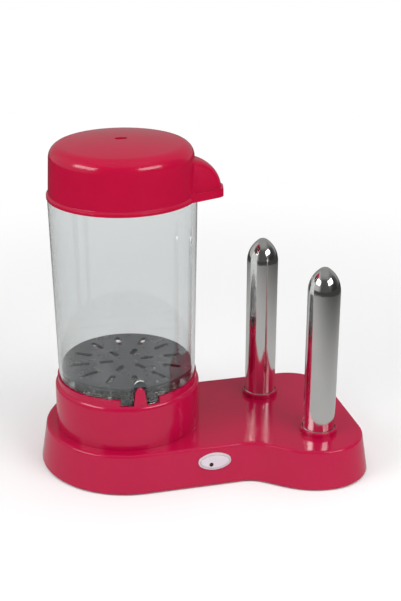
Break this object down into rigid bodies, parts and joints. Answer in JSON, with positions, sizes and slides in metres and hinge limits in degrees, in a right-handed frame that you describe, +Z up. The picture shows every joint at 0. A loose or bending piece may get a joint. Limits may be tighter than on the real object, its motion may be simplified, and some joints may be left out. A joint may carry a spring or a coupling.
{
  "type": "hot dog toaster",
  "caption": "Hot dog steamer: lidded clear sausage tube on a boiler tower, beside upright heated bun spikes on one moulded base with a push button.",
  "frame": {"origin": "on the table under the axis of the steam tower, at the middle rubber foot", "axes": "+Z up along the tube's axis; +X from the tower towards the bun spikes; -Y towards the front wall with the power button"},
  "size_m": [0.2666, 0.18, 0.2776],
  "materials": {
    "red_abs": "glossy moulded raspberry red",
    "red_lid": "glossy moulded raspberry red",
    "red_cover": "fine spark-eroded texture",
    "zinc_screws": "zinc plated",
    "foot_rubber": "matt black",
    "bowl_steel": "spun stainless steel",
    "seal_silicone": "translucent silicone",
    "zinc_nuts": "zinc plated",
    "plate_aluminium": "pressed sheet",
    "element_sheath": "heat-darkened sheath",
    "thermostat_metal": "pressed cap",
    "strap_steel": "sheet steel",
    "fuse_sleeve": "woven glass sleeve",
    "spike_chrome": "polished",
    "ceramic": "steatite ceramic",
    "heater_ceramic": "ceramic former with winding",
    "bezel_white": "pearl white",
    "cap_white": "pearl white",
    "lens_amber": "dark amber lens",
    "lamp_glass": "neon bulb",
    "switch_black": "moulded nylon",
    "spring_steel": "drawn wire",
    "gland_black": "moulded nylon",
    "lead_silicone": "heat-proof silicone insulation",
    "clear_plastic": "clear moulded",
    "smoke_plastic": "smoky translucent"
  },
  "bodies": {
    "base": {"upper_housing": "red_abs", "boiler_tower": "red_abs", "bottom_cover": "red_cover", "cover_screws": "zinc_screws", "rubber_feet": "foot_rubber", "boiler_bowl": "bowl_steel", "boiler_seal": "seal_silicone", "boiler_nuts": "zinc_nuts", "heat_plate": "plate_aluminium", "heating_element": "element_sheath", "thermostat": "thermostat_metal", "thermostat_strap": "strap_steel", "strap_nuts": "zinc_nuts", "thermal_fuse": "fuse_sleeve", "spike_front": "spike_chrome", "spike_insulator_front": "ceramic", "spike_heater_front": "heater_ceramic", "spike_rear": "spike_chrome", "spike_insulator_rear": "ceramic", "spike_heater_rear": "heater_ceramic", "spike_plates": "strap_steel", "spike_screws": "zinc_screws", "button_bezel": "bezel_white", "pilot_lamp": "lamp_glass", "switch_body": "switch_black", "button_spring": "spring_steel", "cord_gland": "gland_black", "cable_clamp": "gland_black", "clamp_screws": "zinc_screws", "terminal_block": "switch_black", "boiler_leads": "lead_silicone", "spike_leads": "lead_silicone"},
    "cylinder": {"clear_cylinder": "clear_plastic", "steam_floor": "smoke_plastic"},
    "lid": {"lid": "red_lid"},
    "power_button": {"button_cap": "cap_white", "lamp_lens": "lens_amber"}
  },
  "joints": [
    {"name": "cylinder_lift", "type": "slide", "parent": "base", "child": "cylinder", "axis": [0, 0, 1], "range_m": [0, 0.12]},
    {"name": "lid_lift", "type": "slide", "parent": "cylinder", "child": "lid", "axis": [0, 0, 1], "range_m": [0, 0.12]},
    {"name": "power_button_press", "type": "slide", "parent": "base", "child": "power_button", "axis": [0, 0.9874, -0.1585], "range_m": [0, 0.0018], "stiffness_N_per_m": 600, "springref_m": -0.002, "deforming": ["button_spring"]}
  ]
}
